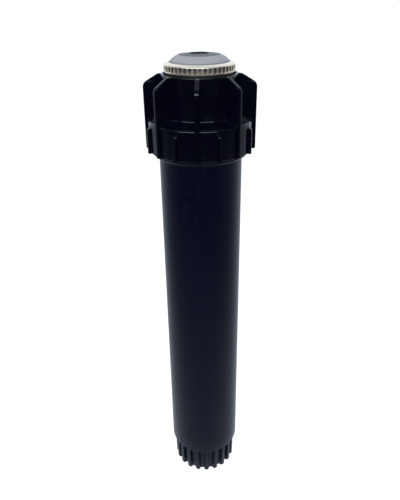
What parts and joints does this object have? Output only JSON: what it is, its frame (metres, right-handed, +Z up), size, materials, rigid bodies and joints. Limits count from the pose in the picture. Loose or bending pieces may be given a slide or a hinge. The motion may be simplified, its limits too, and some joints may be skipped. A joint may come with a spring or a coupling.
{
  "type": "pop up sprinkler",
  "caption": "Pop-up lawn sprinkler: a tapered underground case with a winged screw cap, a sprung riser and a multi-stream rotary nozzle with a fluted arc ring.",
  "frame": {"origin": "centre of the inlet boss's lower face, on the surface that it stands on", "axes": "+Z up along the riser's axis; -Y is the side with a wing facing forward"},
  "size_m": [0.0504, 0.0504, 0.2375],
  "materials": {
    "case_plastic": "satin moulded black plastic",
    "cap_plastic": "glossier moulded black plastic",
    "riser_plastic": "smooth black plastic",
    "nozzle_plastic": "black plastic",
    "seal_rubber": "soft black elastomer",
    "acetal_grey": "natural grey acetal",
    "shutter_plastic": "brown acetal",
    "filter_plastic": "pale plastic",
    "washer_plastic": "white low-friction plastic",
    "mesh_steel": "woven stainless screen",
    "spring_steel": "drawn stainless wire",
    "ring_steel": "bright stainless shell",
    "shaft_steel": "turned stainless",
    "deflector_plastic": "dark grey acetal",
    "dome_plastic": "mid-grey satin plastic",
    "lid_plastic": "dark grey matt plastic"
  },
  "bodies": {
    "case": {"body_case": "case_plastic", "screw_cap": "cap_plastic", "cap_gasket": "seal_rubber", "wiper_seal": "seal_rubber", "seal_support_ring": "acetal_grey", "retraction_spring": "spring_steel"},
    "ratchet": {"ratchet_ring": "acetal_grey"},
    "riser": {"riser_stem": "riser_plastic", "check_valve_holder": "acetal_grey", "check_valve_seal": "seal_rubber", "nozzle_base": "nozzle_plastic", "nozzle_gasket": "seal_rubber", "orifice_disc": "shutter_plastic", "inlet_tube": "acetal_grey", "filter_basket": "filter_plastic", "filter_mesh": "mesh_steel", "turret_spring": "spring_steel"},
    "arc_adjuster": {"arc_ring": "ring_steel", "arc_sleeve": "shutter_plastic", "arc_o_ring": "seal_rubber"},
    "plunger": {"shaft_sleeve": "acetal_grey", "spring_retainer": "acetal_grey", "thrust_washer": "washer_plastic"},
    "radius_adjuster": {"radius_shaft": "shaft_steel", "brake_rotor": "acetal_grey"},
    "throttle": {"throttle_nut": "shutter_plastic"},
    "turret": {"deflector": "deflector_plastic", "turret_dome": "dome_plastic", "turret_lid": "lid_plastic", "shaft_seal": "seal_rubber"}
  },
  "joints": [
    {"name": "riser_popup", "type": "slide", "parent": "case", "child": "ratchet", "axis": [0, 0, 1], "range_m": [0, 0.15], "stiffness_N_per_m": 120, "springref_m": -0.1, "deforming": ["retraction_spring"]},
    {"name": "riser_turn", "type": "hinge", "parent": "ratchet", "child": "riser", "pos_m": [0, 0, 0.0215], "axis": [0, 0, 1], "continuous": true},
    {"name": "arc_ring_turn", "type": "hinge", "parent": "riser", "child": "arc_adjuster", "pos_m": [0, 0, 0.23], "axis": [0, 0, 1], "range_deg": [0, 120]},
    {"name": "turret_popup", "type": "slide", "parent": "riser", "child": "plunger", "axis": [0, 0, 1], "range_m": [0, 0.0045], "stiffness_N_per_m": 300, "springref_m": -0.006, "deforming": ["turret_spring"]},
    {"name": "turret_spin", "type": "hinge", "parent": "plunger", "child": "turret", "pos_m": [0, 0, 0.229], "axis": [0, 0, 1], "continuous": true},
    {"name": "throttle_travel", "type": "slide", "parent": "plunger", "child": "throttle", "axis": [0, 0, 1], "range_m": [0, 0.0021]},
    {"name": "radius_screw_turn", "type": "hinge", "parent": "plunger", "child": "radius_adjuster", "pos_m": [0, 0, 0.23], "axis": [0, 0, 1], "range_deg": [0, 1080]}
  ],
  "couplings": [
    {"joint": "radius_screw_turn", "follows": "throttle_travel", "rad_per_m": 8976}
  ]
}
